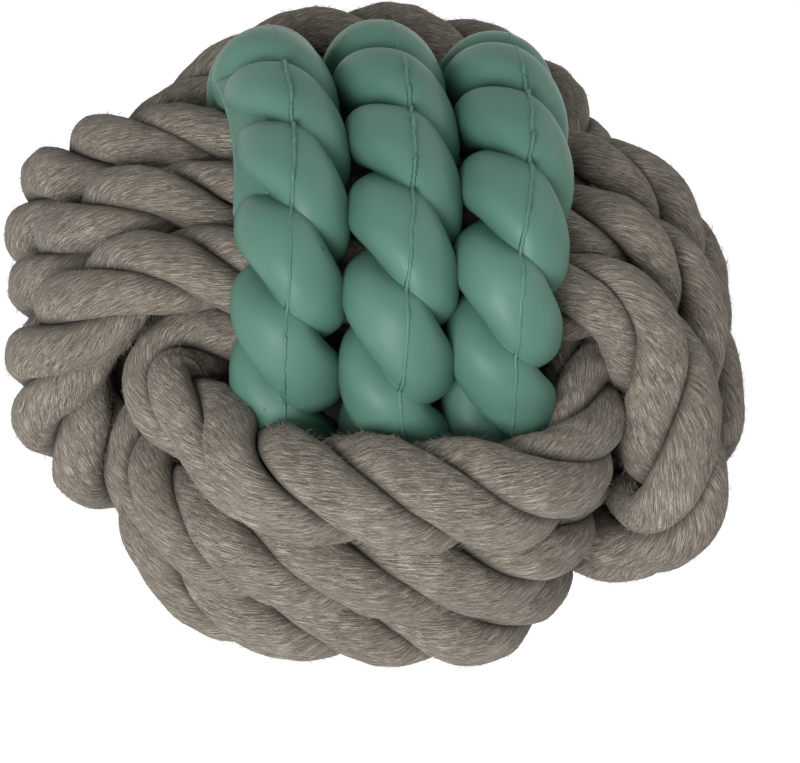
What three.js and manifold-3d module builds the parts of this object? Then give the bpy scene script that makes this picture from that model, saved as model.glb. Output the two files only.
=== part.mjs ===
// Rope dog toy: a ball knotted from three twisted rubber rings and one grey rope.
// Millimetres, +Z up. The origin is on the floor, under the middle of the ball.
import * as THREE from "three";
import { mergeVertices } from "three/addons/utils/BufferGeometryUtils.js";
import Module from "manifold-3d";

// Grey rope
const ROPE_WIDTH = 17.4; // on the outside of the ball, from one turn to the next beside it
const ROPE_THICKNESS = 17.4; // on the outside of the ball, from the middle of the ball outwards
const SQUEEZED_WIDTH = 15.6; // where other turns lie over it, and inside the ball
const SQUEEZED_THICKNESS = 13;
const TURNS = 3; // turns in each of the rope's two bands
const SHIFT_LENGTH = 50; // run of an inner pass on which the rope moves to its next lane
const SHIFT_LEAD = 3; // a later turn starts to move this much sooner
const TAIL_LENGTH = 16; // straight end of the rope inside the ball

// Rubber rings
const RING_CORD = 20.2; // circle round the lobes of the twisted section
const RING_SPACE = 0.3; // between rings side by side
const RING_LOBES = 2;
const CREASE_DEPTH = 5; // between the lobes
const LOBE_FULLNESS = 3; // more makes the lobes fuller and the creases narrower
const RING_TWISTS = 10; // whole turns of the lobes on the way round a ring
const RING_PHASES = [0.55, 0.93, 0.43]; // where the lobes start on each ring, in lobes
const RING_BOWS = [4, 4.7, 6.3]; // each ring bows this far to the right above and below
const STRIP_LENGTH = 30; // flat strip moulded on the side of the left ring
const STRIP_WIDTH = 9;
const STRIP_THICKNESS = 5;
const STRIP_REACH = 9.3; // from the ring's middle line to the strip's face
const STRIP_TILT = THREE.MathUtils.degToRad(68); // from straight up towards the left
const STRIP_PLACE = 4; // middle of the strip, in front of the middle of the ring
const STAND_CUT = 1.84; // depth of the flats that the ball stands on

// Knot
const TURN_GAP = 1; // between turns that lie against each other
const CROWN = 1; // the middle turn of a band stands this much prouder
const RING_ARCH = 2; // an outer pass arches this far outwards at its middle
const FRONT_ARCH = 5;
const LEFT_ARCH = 10;
const RIGHT_ARCH = 6;
const FRONT_RISE = 3; // the front passes ride up by this much
const BACK_RISE = 3.5; // the back passes ride up by this much
const LEFT_DRIFT = 3.5; // the left passes drift back by this much
const RIGHT_DRIFT = 13; // the right passes drift forward by this much
const SIDE_SPACE = 2.4; // between turns at the sides, where they spread a little
const FRONT_SPACE = 0.6; // between turns in front and behind
const LEAN = 0.05; // the right side of the ball sits forward by this share of x
const CORE_DIAMETER = 32;
const CORE_RIGHT = 5; // the core lies this far to the right of the middle
const CORE_FRONT = 5; // and this far in front of it
const CORE_SEAT = 0.6; // from the core to the rope that it lies on

// Fineness of the meshes
const ROPE_STEP = 7;
const ROPE_SIDES = 12;
const STEPS_ON_TWIST = 15;
const POINTS_ON_LOBE = 6;
const CORE_STEP = 0.05;
const CORE_SIDES = 24;
const CORE_BANDS = 16;
const LEAST_ROPE_GAP = 0.4;

// Pitch of the turns side by side in each band
const ringPitch = RING_CORD + RING_SPACE;
const squeezedPitch = SQUEEZED_WIDTH + TURN_GAP;

// Share of its arch that an outer pass has at a distance from its middle.
function archShare(distance, short) {
  return Math.cos((Math.PI / 2) * Math.min(1, Math.abs(distance) / short)) ** 2;
}

// The rings pass over the rope's first band above and below, the rope's second band passes
// over the rings in front and behind, and its first band over its second at both sides.
const innerX = ringPitch + (RING_CORD + SQUEEZED_THICKNESS) / 2 + TURN_GAP; // second band's inner passes
const innerY = squeezedPitch + (SQUEEZED_WIDTH + RING_CORD) / 2 + TURN_GAP; // rings' inner passes
const innerZ = squeezedPitch + (SQUEEZED_WIDTH + SQUEEZED_THICKNESS) / 2 + TURN_GAP; // first band's
const outerX = innerX + (SQUEEZED_THICKNESS + ROPE_THICKNESS) / 2 + TURN_GAP // first band's outer passes
  - RIGHT_ARCH * archShare(squeezedPitch, innerZ);
const outerY = innerY + (RING_CORD + ROPE_THICKNESS) / 2 + TURN_GAP // second band's
  - FRONT_ARCH * archShare(ringPitch, innerX);
const outerZ = innerZ + (SQUEEZED_THICKNESS + RING_CORD) / 2 + TURN_GAP // rings'
  - RING_ARCH * archShare(squeezedPitch, innerY);
const floorZ = -(outerZ + RING_ARCH + RING_CORD / 2 - STAND_CUT);

// Each turn is an oblong with round corners, a along its long way and b along its short way.
// Its corners go round the outermost turns of the band that it encloses.
const firstBand = {
  long: outerX,
  short: innerZ,
  sideA: innerX,
  sideB: squeezedPitch,
  tuck: SQUEEZED_THICKNESS + TURN_GAP,
  archLow: LEFT_ARCH,
  archHigh: RIGHT_ARCH,
  driftLow: LEFT_DRIFT,
  driftHigh: -RIGHT_DRIFT,
  pitch: ROPE_WIDTH + SIDE_SPACE,
};
const secondBand = {
  long: outerY,
  short: innerX,
  sideA: innerY,
  sideB: ringPitch,
  tuck: (RING_CORD + SQUEEZED_THICKNESS) / 2 + TURN_GAP,
  archLow: FRONT_ARCH,
  archHigh: FRONT_ARCH,
  driftLow: FRONT_RISE,
  driftHigh: BACK_RISE,
  pitch: ROPE_WIDTH + FRONT_SPACE,
};
const ringLoop = {
  long: outerZ,
  short: innerY,
  sideA: innerZ,
  sideB: squeezedPitch,
  archLow: RING_ARCH,
  archHigh: RING_ARCH,
  driftLow: 0,
  driftHigh: 0,
};

const wasm = await Module();
wasm.setup();

const rubber = new THREE.MeshStandardMaterial({ color: 0x5b8374, roughness: 0.42, metalness: 0 });
const cotton = new THREE.MeshStandardMaterial({ color: 0x80776e, roughness: 0.95, metalness: 0 });
const coreRubber = new THREE.MeshStandardMaterial({ color: 0xb8b2a4, roughness: 0.8, metalness: 0 });

function toSolid(geometry) {
  const bare = geometry.clone();
  bare.deleteAttribute("normal");
  bare.deleteAttribute("uv");
  const merged = mergeVertices(bare, 1e-4);
  return new wasm.Manifold(new wasm.Mesh({
    numProp: 3,
    vertProperties: new Float32Array(merged.attributes.position.array),
    triVerts: new Uint32Array(merged.index.array),
  }));
}

function toGeometry(solid) {
  const mesh = solid.getMesh();
  const geometry = new THREE.BufferGeometry();
  geometry.setAttribute("position", new THREE.BufferAttribute(mesh.vertProperties, 3));
  geometry.setIndex(new THREE.BufferAttribute(mesh.triVerts, 1));
  geometry.computeVertexNormals();
  return geometry;
}

// Joins rings of points into one skin. A closed skin joins its last ring to its first, and
// an open one gets a flat end on both. Each face is split along its shorter diagonal.
function skin(rings, closed) {
  const sides = rings[0].length;
  const points = rings.flat();
  const triangles = [];
  const last = closed ? rings.length : rings.length - 1;
  for (let i = 0; i < last; i += 1) {
    const here = i * sides;
    const next = ((i + 1) % rings.length) * sides;
    for (let j = 0; j < sides; j += 1) {
      const k = (j + 1) % sides;
      const leftward = points[here + k].distanceTo(points[next + j]);
      const rightward = points[here + j].distanceTo(points[next + k]);
      if (leftward < rightward) {
        triangles.push(here + j, here + k, next + j, here + k, next + k, next + j);
      } else {
        triangles.push(here + j, here + k, next + k, here + j, next + k, next + j);
      }
    }
  }
  if (!closed) {
    const end = (rings.length - 1) * sides;
    for (let j = 1; j < sides - 1; j += 1) {
      triangles.push(0, j + 1, j, end, end + j, end + j + 1);
    }
  }
  const numbers = points.flatMap((point) => point.toArray());
  const geometry = new THREE.BufferGeometry();
  geometry.setAttribute("position", new THREE.Float32BufferAttribute(numbers, 3));
  geometry.setIndex(triangles);
  geometry.computeVertexNormals();
  return geometry;
}

// A place on a turn in its plan. The lane counts turns from the middle of the band, and plump
// is 1 on the outside of the ball and 0 where the rope is squeezed.
function line(places, to, step) {
  const from = places.at(-1);
  const count = Math.max(1, Math.round(Math.hypot(to.a - from.a, to.b - from.b) / step));
  for (let i = 1; i <= count; i += 1) {
    const a = THREE.MathUtils.lerp(from.a, to.a, i / count);
    const b = THREE.MathUtils.lerp(from.b, to.b, i / count);
    places.push({ a, b, lane: from.lane, plump: from.plump });
  }
}

// A round corner about the point a, b of a turn, from one angle to another. Its inward half is
// where an end of the band tucks in round the outermost turn that the band encloses.
function corner(places, turn, a, b, from, to, step) {
  const radiusB = turn.short - turn.sideB;
  const { lane } = places.at(-1);
  const count = Math.ceil((Math.abs(to - from) * radiusB) / step);
  for (let i = 1; i <= count; i += 1) {
    const angle = THREE.MathUtils.lerp(from, to, i / count);
    const outward = Math.cos(angle) * Math.sign(a);
    places.push({
      a: a + Math.cos(angle) * (outward > 0 ? turn.long - turn.sideA : turn.tuck),
      b: b + radiusB * Math.sin(angle),
      lane,
      plump: outward > 0 ? outward ** 4 : 0,
    });
  }
}

// Arches and drifts the outer passes, and lets the middle turn stand proud of its neighbours.
function shaped(turn, { a, b, lane, plump }) {
  const crown = CROWN * Math.max(0, 1 - lane ** 2);
  const reach = Math.abs(a) >= turn.sideA ? archShare(b, turn.short) : 0;
  const arch = reach * (a < 0 ? turn.archLow : turn.archHigh);
  const drift = reach * (a < 0 ? turn.driftLow : turn.driftHigh);
  return new THREE.Vector3(
    a * (1 + crown / turn.long) + Math.sign(a) * arch,
    b * (1 + crown / turn.short),
    lane * THREE.MathUtils.lerp(squeezedPitch, turn.pitch, plump) + drift,
  );
}

// One band of the rope: out from the inside, round its turns, and back to the inside. Between
// turns it moves over by one lane on the inner pass at the low end of b.
function bandRoute(turn, firstLane, laneStep, entryRun, exitRun) {
  const { long, short, sideA, sideB, tuck } = turn;
  const quarter = Math.PI / 2;
  const inside = sideA - tuck;
  const places = [{ a: -inside, b: -sideB + entryRun, lane: firstLane, plump: 0 }];
  line(places, { a: -inside, b: -sideB }, ROPE_STEP);
  corner(places, turn, -sideA, -sideB, 0, -2 * quarter, ROPE_STEP);
  for (let count = 1; count <= TURNS; count += 1) {
    line(places, { a: -long, b: sideB }, ROPE_STEP);
    corner(places, turn, -sideA, sideB, 2 * quarter, quarter, ROPE_STEP);
    line(places, { a: sideA, b: short }, ROPE_STEP);
    corner(places, turn, sideA, sideB, quarter, 0, ROPE_STEP);
    line(places, { a: long, b: -sideB }, ROPE_STEP);
    if (count === TURNS) {
      corner(places, turn, sideA, -sideB, 0, -2 * quarter, ROPE_STEP);
      line(places, { a: inside, b: -sideB + exitRun }, ROPE_STEP);
    } else {
      corner(places, turn, sideA, -sideB, 0, -quarter, ROPE_STEP);
      const first = places.length;
      line(places, { a: -sideA, b: -short }, ROPE_STEP);
      const middle = (2 * count - TURNS) * SHIFT_LEAD;
      for (const place of places.slice(first)) {
        const share = (middle + SHIFT_LENGTH / 2 - place.a) / SHIFT_LENGTH;
        place.lane += laneStep * THREE.MathUtils.smoothstep(share, 0, 1);
      }
      corner(places, turn, -sideA, -sideB, -quarter, -2 * quarter, ROPE_STEP);
    }
  }
  return places.map((place) => ({
    point: shaped(turn, place),
    plump: place.plump,
  }));
}

// The right side of the ball sits a little forward, as it was pulled tight.
function lean(point) {
  return new THREE.Vector3(point.x, point.y - LEAN * point.x, point.z);
}

function tangents(points, closed) {
  const count = points.length;
  return points.map((point, i) => {
    const before = closed ? points[(i + count - 1) % count] : points[Math.max(0, i - 1)];
    const after = closed ? points[(i + 1) % count] : points[Math.min(count - 1, i + 1)];
    return after.clone().sub(before).normalize();
  });
}

// The whole rope: the first band goes round the sides, crosses over inside the ball, and the
// second goes round front and back. Each place has the way that the rope's width lies.
function ropeRoute() {
  const sideLane = (TURNS - 1) / 2;
  const first = bandRoute(firstBand, -sideLane, 1, TAIL_LENGTH, 0).map(({ point, plump }) => ({
    point: new THREE.Vector3(point.x, point.z, point.y),
    plump,
    width: new THREE.Vector3(0, 1, 0),
  }));
  const second = bandRoute(secondBand, sideLane, -1, 0, TAIL_LENGTH).map(({ point, plump }) => ({
    point: new THREE.Vector3(point.y, point.x, point.z),
    plump,
    width: new THREE.Vector3(0, 0, 1),
  }));
  const leave = first.at(-1).point;
  const enter = second[0].point;
  const crossing = new THREE.CubicBezierCurve3(
    leave,
    new THREE.Vector3(leave.x, leave.y, enter.z),
    new THREE.Vector3(leave.x, enter.y, enter.z),
    enter,
  );
  const steps = Math.round(crossing.getLength() / ROPE_STEP);
  const across = crossing.getSpacedPoints(steps).slice(1, -1).map((point, i) => {
    const turned = THREE.MathUtils.smoothstep((i + 1) / steps, 0, 1);
    return { point, plump: 0, width: new THREE.Vector3(0, 1 - turned, turned) };
  });
  return [...first, ...across, ...second];
}

function ropeSections(route) {
  const points = route.map(({ point }) => lean(point));
  const along = tangents(points, false);
  return route.map(({ plump, width }, i) => {
    const across = width.clone().addScaledVector(along[i], -width.dot(along[i])).normalize();
    const out = along[i].clone().cross(across);
    const halfWidth = THREE.MathUtils.lerp(SQUEEZED_WIDTH, ROPE_WIDTH, plump) / 2;
    const halfThickness = THREE.MathUtils.lerp(SQUEEZED_THICKNESS, ROPE_THICKNESS, plump) / 2;
    return Array.from({ length: ROPE_SIDES }, (_, j) => {
      const angle = (2 * Math.PI * j) / ROPE_SIDES;
      return points[i].clone()
        .addScaledVector(across, halfWidth * Math.cos(angle))
        .addScaledVector(out, halfThickness * Math.sin(angle));
    });
  });
}

// Least distance between the points of stretches of the rope that aren't neighbours.
function leastGap(sections) {
  const apart = Math.ceil((2 * ROPE_WIDTH) / ROPE_STEP);
  let least = Infinity;
  for (let i = 0; i < sections.length; i += 1) {
    for (let k = i + apart; k < sections.length; k += 1) {
      if (sections[i][0].distanceTo(sections[k][0]) < 3 * ROPE_WIDTH) {
        for (const p of sections[i]) {
          for (const q of sections[k]) {
            least = Math.min(least, p.distanceToSquared(q));
          }
        }
      }
    }
  }
  return Math.sqrt(least);
}

function rope(sections) {
  const gap = leastGap(sections);
  console.log(`least gap of the rope to itself: ${gap.toFixed(2)} mm`);
  if (gap < LEAST_ROPE_GAP) {
    throw new Error(`the rope's turns come within ${gap.toFixed(2)} mm of each other`);
  }
  return new THREE.Mesh(skin(sections, false), cotton);
}

// Section of a ring: two full lobes that meet in sharp creases.
function lobedSection() {
  const half = Math.PI / RING_LOBES;
  const count = RING_LOBES * POINTS_ON_LOBE;
  return Array.from({ length: count }, (_, i) => {
    const angle = (2 * Math.PI * i) / count;
    const fromTop = Math.abs((angle % (2 * half)) - half) / half;
    return { angle, radius: RING_CORD / 2 - CREASE_DEPTH * fromTop ** LOBE_FULLNESS };
  });
}

// How far to the right the middle line of a ring lies, at a distance before or behind its middle.
function ringLevel(index, distance) {
  const lane = index - (RING_PHASES.length - 1) / 2;
  return lane * ringPitch + RING_BOWS[index] * archShare(distance, innerY);
}

// Middle line of a ring, as points at equal steps from its top towards the back.
function ringLine(index) {
  const { long, short, sideA, sideB } = ringLoop;
  const radiusA = long - sideA;
  const radiusB = short - sideB;
  const quarter = Math.PI / 2;
  const plan = new THREE.Path();
  plan.moveTo(long, 0);
  plan.lineTo(long, sideB);
  plan.absellipse(sideA, sideB, radiusA, radiusB, 0, quarter, false);
  plan.lineTo(-sideA, short);
  plan.absellipse(-sideA, sideB, radiusA, radiusB, quarter, 2 * quarter, false);
  plan.lineTo(-long, -sideB);
  plan.absellipse(-sideA, -sideB, radiusA, radiusB, 2 * quarter, 3 * quarter, false);
  plan.lineTo(sideA, -short);
  plan.absellipse(sideA, -sideB, radiusA, radiusB, 3 * quarter, 4 * quarter, false);
  plan.closePath();
  const steps = STEPS_ON_TWIST * RING_TWISTS;
  return plan.getSpacedPoints(steps).slice(0, steps)
    .map((p) => shaped(ringLoop, { a: p.x, b: p.y, lane: 1, plump: 0 }))
    .map((p) => lean(new THREE.Vector3(ringLevel(index, p.y), p.y, p.x)));
}

// The lobes follow each other at equal steps along the outer side of the ring.
function ringBody(index) {
  const points = ringLine(index);
  const across = new THREE.Vector3(1, 0, 0);
  const out = tangents(points, true).map((along) => across.clone().cross(along).normalize());
  const edge = points.map((point, i) => point.clone().addScaledVector(out[i], RING_CORD / 2));
  const runs = edge.map((point, i) => point.distanceTo(edge[(i + 1) % edge.length]));
  const whole = runs.reduce((sum, run) => sum + run, 0);
  const section = lobedSection();
  let gone = 0;
  const rings = points.map((point, i) => {
    const turned = RING_PHASES[index] / RING_LOBES - (RING_TWISTS * gone) / whole;
    const twist = 2 * Math.PI * turned;
    gone += runs[i];
    return section.map(({ angle, radius }) => point.clone()
      .addScaledVector(out[i], radius * Math.cos(angle + twist))
      .addScaledVector(across, radius * Math.sin(angle + twist)));
  });
  return toSolid(skin(rings, true));
}

// Everything below the floor, which leaves the flats that the ball stands on.
function belowFloor() {
  const block = new THREE.BoxGeometry(4 * outerX, 4 * outerY, RING_CORD);
  block.translate(0, 0, floorZ - RING_CORD / 2);
  return toSolid(block);
}

// The strip lies along the top of the left ring, where its mould had a flat insert.
function mouldedStrip(index) {
  const strip = new THREE.BoxGeometry(STRIP_WIDTH, STRIP_LENGTH, STRIP_THICKNESS);
  strip.translate(0, 0, STRIP_REACH - STRIP_THICKNESS / 2);
  strip.rotateY(-STRIP_TILT);
  const height = outerZ + RING_ARCH * archShare(STRIP_PLACE, innerY);
  const centre = lean(new THREE.Vector3(ringLevel(index, STRIP_PLACE), -STRIP_PLACE, height));
  strip.translate(centre.x, centre.y, centre.z);
  return toSolid(strip);
}

function ring(index) {
  let body = ringBody(index);
  if (index === 0) {
    body = body.add(mouldedStrip(index));
  }
  return new THREE.Mesh(toGeometry(body.subtract(belowFloor())), rubber);
}

// The core lies in the part of the hollow that the rope's crossing leaves free. It sinks until
// it meets the lowest turns of the rope.
function core(sections) {
  const radius = CORE_DIAMETER / 2;
  const height = innerZ - SQUEEZED_THICKNESS / 2 - TURN_GAP - radius;
  const centre = lean(new THREE.Vector3(CORE_RIGHT, -CORE_FRONT, -height));
  const push = new THREE.Vector3(0, 0, -CORE_STEP);
  const points = sections.flat();
  while (points.every((point) => point.distanceTo(centre) > radius + CORE_SEAT)) {
    centre.add(push);
  }
  const geometry = new THREE.SphereGeometry(radius, CORE_SIDES, CORE_BANDS);
  geometry.translate(centre.x, centre.y, centre.z);
  return new THREE.Mesh(geometry, coreRubber);
}

const sections = ropeSections(ropeRoute());
const toy = new THREE.Group();
const pieces = {
  rubber_ring_left: ring(0),
  rubber_ring_middle: ring(1),
  rubber_ring_right: ring(2),
  grey_rope: rope(sections),
  core_ball: core(sections),
};
for (const [name, piece] of Object.entries(pieces)) {
  piece.name = name;
  piece.position.set((LEFT_ARCH - RIGHT_ARCH) / 2, 0, -floorZ);
  toy.add(piece);
}

export default toy;
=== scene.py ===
"""Models the looks of a rope dog toy: one grey rope and three twisted rubber rings in a ball.

Metres, in the frame of the CAD model: +Z up, with the front towards -Y.
"""
import math
from types import SimpleNamespace

import bpy
import numpy as np
from mathutils import Matrix, Vector


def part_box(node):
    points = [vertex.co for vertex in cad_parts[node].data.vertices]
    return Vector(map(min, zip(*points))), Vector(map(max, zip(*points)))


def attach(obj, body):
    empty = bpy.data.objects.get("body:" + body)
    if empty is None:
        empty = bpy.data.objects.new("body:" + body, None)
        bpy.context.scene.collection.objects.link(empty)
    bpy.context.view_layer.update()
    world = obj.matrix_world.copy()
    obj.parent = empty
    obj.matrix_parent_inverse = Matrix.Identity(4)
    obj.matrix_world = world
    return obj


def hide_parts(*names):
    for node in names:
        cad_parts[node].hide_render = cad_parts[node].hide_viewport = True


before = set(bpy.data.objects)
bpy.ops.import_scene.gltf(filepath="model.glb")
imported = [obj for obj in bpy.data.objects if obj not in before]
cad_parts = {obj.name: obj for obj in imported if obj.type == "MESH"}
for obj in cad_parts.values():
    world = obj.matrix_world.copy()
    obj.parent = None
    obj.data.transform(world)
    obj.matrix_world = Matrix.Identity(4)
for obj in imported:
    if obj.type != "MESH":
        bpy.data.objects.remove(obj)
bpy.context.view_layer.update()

bl_info = {
    "name": "Rope Dog Toy",
    "version": (1, 0, 0),
    "blender": (4, 5, 0),
    "location": "3D View > Sidebar > Rope Toy",
    "description": "Models a ball knotted from a grey rope and three twisted rubber rings",
    "category": "Add Mesh",
}

BODY = "root"
RING_NODES = ("rubber_ring_left", "rubber_ring_middle", "rubber_ring_right")
ROPE_NODE = "grey_rope"
CORE_NODE = "core_ball"

# Strands that are laid into the rope
STRAND_COUNT = 3

# Fineness of the meshes
ROUTE_STEP = 0.0012
STRAND_POINTS = 26
RING_STEPS = 840
RING_CORNER_POINTS = 60
LOBE_POINTS = 34
STRIP_POINTS = 32
FUZZ_COUNT = 15000
FUZZ_SIDES = 3
CORE_SEGMENTS = 48
CORE_RINGS = 24

# More makes a pass turn plump later as it comes out of the ball
PLUMP_POWER = 4

# Half the run on which a pass spreads, and from its corner back to the middle of that run
SPREAD_REACH = 0.018
SPREAD_SETBACK = 0.009

# Half the width of a hollow beside a ring, and from the outer rings to the hollows outside them
HOLLOW_REACH = 0.0075
HOLLOW_ASIDE = 0.013

# More makes a pass press into the hollows sooner as it turns plump
PRESS_ONSET = 3

# Brings the highest value of x * x * (1 - x) between 0 and 1 to 1
TUCK_SCALE = 27 / 4

# Place on a ring, from its top round by the back, where its lobes turn least
SLACK_PLACE = 0.87

# More brings the points of a ring's section closer together at its creases
CREASE_CROWDING = 1.4

# Lengths and heights of the waves that make up one soft wave, as shares of the longest
WAVE_PARTS = (1, 0.63, 0.37)

# Period and reach of the soft waves in a strand's thickness, in its turn and in the flash's course
SWELL_WAVE = (0.11, 0.03)
TURN_WAVE = (0.17, 0.12)
FLASH_WAVE = (0.05, 0.0003)

# Waves that make up the lumps on a strand: their number, shortest and longest run, and most slant
LUMP_WAVES = 9
LUMP_RUNS = (0.006, 0.02)
LUMP_SLANT = 6

# First seeds for the strands' turn, fuzz and lumps
TURN_SEED = 50
FUZZ_SEED = 70
LUMP_SEED = 90

# Half a strand's wedge in sixths of the rope's round, over 1 so that the strands overlap
WEDGE = 1.02

# Runs on which the flash's depth, roughness and course are eased, and about the step of its points
FLASH_EASE = 0.0012
ROUGH_EASE = 0.0008
WANDER_EASE = 0.003
FLASH_STEP = 0.0004

# Chance value from which the flash is rough, and the span to where it is roughest
ROUGH_FROM = 0.12
ROUGH_SPAN = 0.45

# Flash about the top of a ring: how far behind it starts, and the run on which it rises
FLASH_BEHIND = 0.016
FLASH_RISE = 0.006

# How far in front of a ring's top the flash starts to sink, on which run, and by what share
FLASH_AHEAD = 0.006
FLASH_FALL = 0.02
FLASH_LOSS = 0.6

# Shares of the flash's height that are left elsewhere and that roughness doesn't change
FLASH_LEAST = 0.15
FLASH_EVEN = 0.3

# How far the flash wanders aside, lies in the rubber and jumps at its edge, and how wide its edge is
FLASH_WANDER = 0.0006
FLASH_SINK = 0.0004
FLASH_JITTER = 0.00009
FLASH_TAPER = 0.35

# Density of the loose fibres on the runs inside the ball, while the plump passes have 1 more
HIDDEN_FUZZ = 0.2

# Points beside a strand's creases without loose fibres
FUZZ_MARGIN = 3

# Spans of a loose fibre's length, rise and bend, and its spread aside and at its bend
FUZZ_LENGTHS = (0.3, 1)
FUZZ_RISES = (0.1, 0.7)
FUZZ_BENDS = (-0.6, 0.3)
FUZZ_ASIDE = 0.45
FUZZ_KINK = 0.3

# Depth of a fibre's root in its own radii, and its share of thickness at the bend
FUZZ_DEPTH = 4
FUZZ_TAPER = 0.7

# Share of the light fibres' colour in the loose ones: a painted sheen, a paler lit copy of the cotton
FUZZ_PAINTED_SHEEN = 0.4

# Seam round the core: width of its bevel, share of the radius at its bottom, and how near is on it
SEAM_WIDTH = 0.0008
SEAM_SHARE = 0.96
ON_SEAM = 1e-5

# Noises of the cotton: scale across, along and through the fibres' map, turn, and detail
FINE_FIBRES = ((6800, 250, 1), 0, 3)
STREAKS = ((5000, 180, 1), 0, 4)
STRAY_FIBRES = ((6400, 420, 1), 0.45, 3)
CROSS_FIBRES = ((5800, 380, 1), -0.6, 3)
FIBRE_ROUGHNESS = 0.7
BROAD_SCALE = (420, 90, 1)
COTTON_CLOUDS = 55

# Noise scales of the rubber, and the colour of its specks
RUBBER_CLOUDS = 38
RUBBER_GRAIN = 2600
RUBBER_RIPPLES = 120
RUBBER_SPECKS = 420
SPECK_COLOUR = (0.02, 0.05, 0.04)

# Noise scales of the core, and the share of its colour that its darkest clouds have
CORE_CLOUDS = 60
CORE_GRAIN = 900
CORE_TINT = 0.8

# Floor: side, glow to the camera, and the grey that takes the shadow there
FLOOR_SIZE = 8
FLOOR_GLOW = 0.93
FLOOR_SHADE = (0.25, 0.25, 0.25, 1)

# Point that the camera and the lights face, and the lights' places and sides
AIM = Vector((0, 0, 0.058))
KEY_PLACE = (-0.3, -0.85, 0.5)
KEY_SIZE = 0.5
SIDE_PLACE = (0.75, 0.4, 0.6)
SIDE_SIZE = 0.9

WHITE = (1, 1, 1, 1)

# Sockets of a Mix node for colours
MIX_PART = 0
MIX_FIRST = 6
MIX_SECOND = 7
MIX_RESULT = 2


def length(name, description, default):
    """A size in metres for a property group."""
    return bpy.props.FloatProperty(
        name=name, description=description, default=default, unit="LENGTH", precision=5)


def share(name, description, default):
    """A plain number for a property group."""
    return bpy.props.FloatProperty(name=name, description=description, default=default)


def slope(name, description, degrees):
    """An angle for a property group, given in degrees."""
    return bpy.props.FloatProperty(
        name=name, description=description, default=math.radians(degrees), subtype="ANGLE")


def per_ring(name, description, default, **kind):
    """A number for each ring for a property group."""
    return bpy.props.FloatVectorProperty(name=name, description=description, default=default, **kind)


def colour(name, description, default):
    """A colour in linear light for a property group."""
    return bpy.props.FloatVectorProperty(
        name=name, description=description, default=default, subtype="COLOR", min=0, max=1)


class RopeSizes(bpy.types.PropertyGroup):
    """Sizes of the grey rope."""

    width: length("Width", "Width of the tight rope on the outside of the ball", 0.0174)
    thickness: length("Thickness", "Thickness of the tight rope on the outside of the ball", 0.0174)
    squeezed_width: length("Squeezed Width", "Width where other turns lie over the rope", 0.0156)
    squeezed_thickness: length("Squeezed Thickness", "Thickness where other turns lie over it", 0.013)
    shift_length: length("Shift Length", "Run on which the rope moves to its next lane", 0.05)
    shift_lead: length("Shift Lead", "How much sooner a later turn starts to move", 0.003)
    tail_length: length("Tail", "Straight end of the rope inside the ball", 0.016)
    loft: length("Loft", "How far the loose cotton stands out past the tight rope", 0.0011)
    lay: length("Lay", "Run of the rope in which a strand goes once round", 0.0526)
    side_twist: share("Side Twist", "Turn of the strands in the side band, in strands", -0.23)
    front_twist: share("Front Twist", "Turn of the strands in the front band, in strands", 0.22)
    side_crease: share("Side Crease", "Depth of the side band's creases, in radii", 0.46)
    front_crease: share("Front Crease", "Depth of the front band's creases, in radii", 0.35)
    fullness: share("Fullness", "More makes the strands fuller and the creases narrower", 2.8)
    squareness: share("Squareness", "2 is an oval rope, and more is squarer", 2.6)
    lump: length("Lump", "Height of the soft lumps on the strands", 0.00016)
    fuzz_length: length("Fuzz Length", "Longest fibre that stands off the rope", 0.0024)
    fuzz_radius: length("Fuzz Radius", "Thickness of a standing fibre at its root", 0.000036)


class RingSizes(bpy.types.PropertyGroup):
    """Sizes of the rubber rings."""

    cord: length("Cord", "Circle round the lobes of the twisted section", 0.0202)
    space: length("Space", "Space between rings side by side", 0.0003)
    swell: length("Swell", "How far the soft lobes bulge past the tight cord", 0.0004)
    crease_depth: length("Crease Depth", "Depth of the creases between the lobes", 0.005)
    fullness: share("Fullness", "More makes the lobes fuller and the creases narrower", 3)
    crease_fade: share("Crease Fade", "Share of the creases' depth that is lost beside the seam", 0.6)
    fade_reach: slope("Fade Reach", "How far round the cord the creases are shallower", 42)
    fade_aside: slope("Fade Aside", "From the seam to the shallowest creases, to the right", 18)
    twists: bpy.props.IntProperty(
        name="Twists", description="Whole turns of the lobes round a ring", default=10)
    slack: share("Slack", "Turns in a round that the lobes lose over the front and gain underneath", 1)
    phases: per_ring("Phases", "Where the lobes start on each ring, in lobes", (0.62, 0.94, 0.31))
    middle_bulge: length(
        "Middle Bulge", "How much further the middle ring reaches to the front and back", 0.0035)
    bows: per_ring(
        "Bows", "How far each ring bows to the right over the top and underneath",
        (0.0046, 0.0044, 0.0044), unit="LENGTH")
    slants: per_ring(
        "Slants", "How far the front of each ring leans to the right",
        (0.0043, 0.0035, 0.0018), unit="LENGTH")
    softness: length("Softness", "Run on which a bend of a ring is eased", 0.03)
    stand_cut: length("Stand Cut", "Depth of the flats that the ball stands on", 0.00184)
    flash_height: length("Flash Height", "Highest part of the moulding flash", 0.0012)
    flash_width: length("Flash Width", "Width of the moulding flash at its root", 0.001)
    seams: per_ring(
        "Seams", "From straight out to the moulding flash of each ring, towards the right",
        (0, math.radians(8), math.radians(13)), subtype="EULER")
    strip_length: length("Strip Length", "Flat strip on the side of the left ring", 0.037)
    strip_width: length("Strip Width", "Width of the flat strip", 0.0098)
    strip_thickness: length("Strip Thickness", "Thickness of the flat strip", 0.005)
    strip_reach: length("Strip Reach", "From the ring's middle line to the strip's face", 0.0064)
    strip_round: length("Strip Round", "Radius of the strip's edges", 0.0012)
    strip_drop: length("Strip Drop", "How far down to the left the strip's face lies", 0.0046)
    strip_place: length("Strip Place", "Middle of the strip, in front of the ring's middle", -0.003)
    strip_tilt: slope("Strip Tilt", "From straight up towards the left", 39)


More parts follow.
